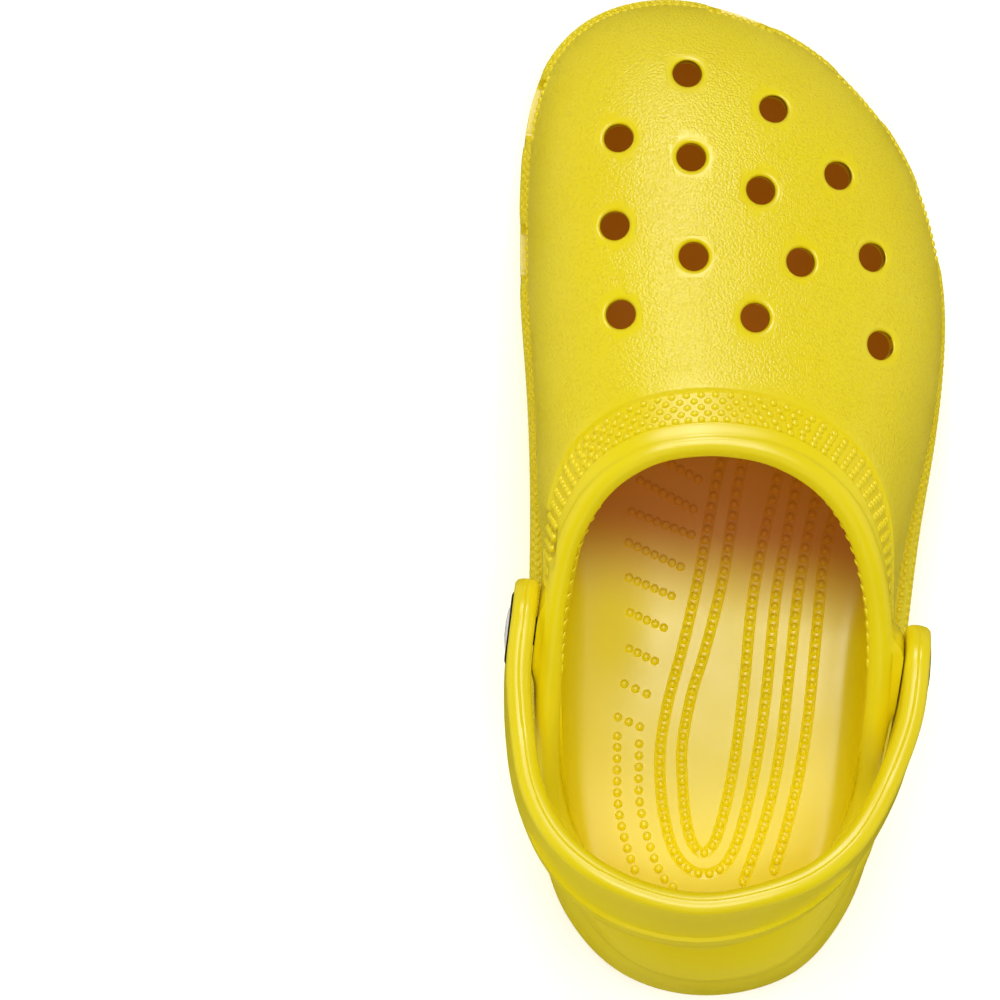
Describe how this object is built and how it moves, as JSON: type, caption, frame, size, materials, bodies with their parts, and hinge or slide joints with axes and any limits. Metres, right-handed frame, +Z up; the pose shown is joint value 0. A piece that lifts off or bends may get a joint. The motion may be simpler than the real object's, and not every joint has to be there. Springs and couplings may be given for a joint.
{
  "type": "garden clog",
  "caption": "Moulded foam clog for the right foot with a vented toe box, a low heel cup and a swivelling heel strap on button rivets.",
  "frame": {"origin": "middle of the bounding box at ground level, under the arch", "axes": "+Y from heel to toe, +X towards the outer side of a right foot, +Z up"},
  "size_m": [0.1259, 0.2852, 0.102],
  "materials": {
    "body_foam": "satin, fine pebble grain",
    "strap_foam": "satin, smooth",
    "rivet_plastic": "satin",
    "emblem_plastic": "semi-gloss"
  },
  "bodies": {
    "clog": {"clog_body": "body_foam", "rivet_head_medial": "rivet_plastic", "rivet_head_lateral": "rivet_plastic", "rivet_emblem_medial": "emblem_plastic", "rivet_emblem_lateral": "emblem_plastic", "rivet_cap_medial": "rivet_plastic", "rivet_cap_lateral": "rivet_plastic"},
    "strap": {"heel_strap": "strap_foam"}
  },
  "joints": [
    {"name": "strap_pivot", "type": "hinge", "parent": "clog", "child": "strap", "pos_m": [-0.00405, -0.04235, 0.066], "axis": [-0.993, 0.1184, 0], "range_deg": [-8, 112]}
  ]
}
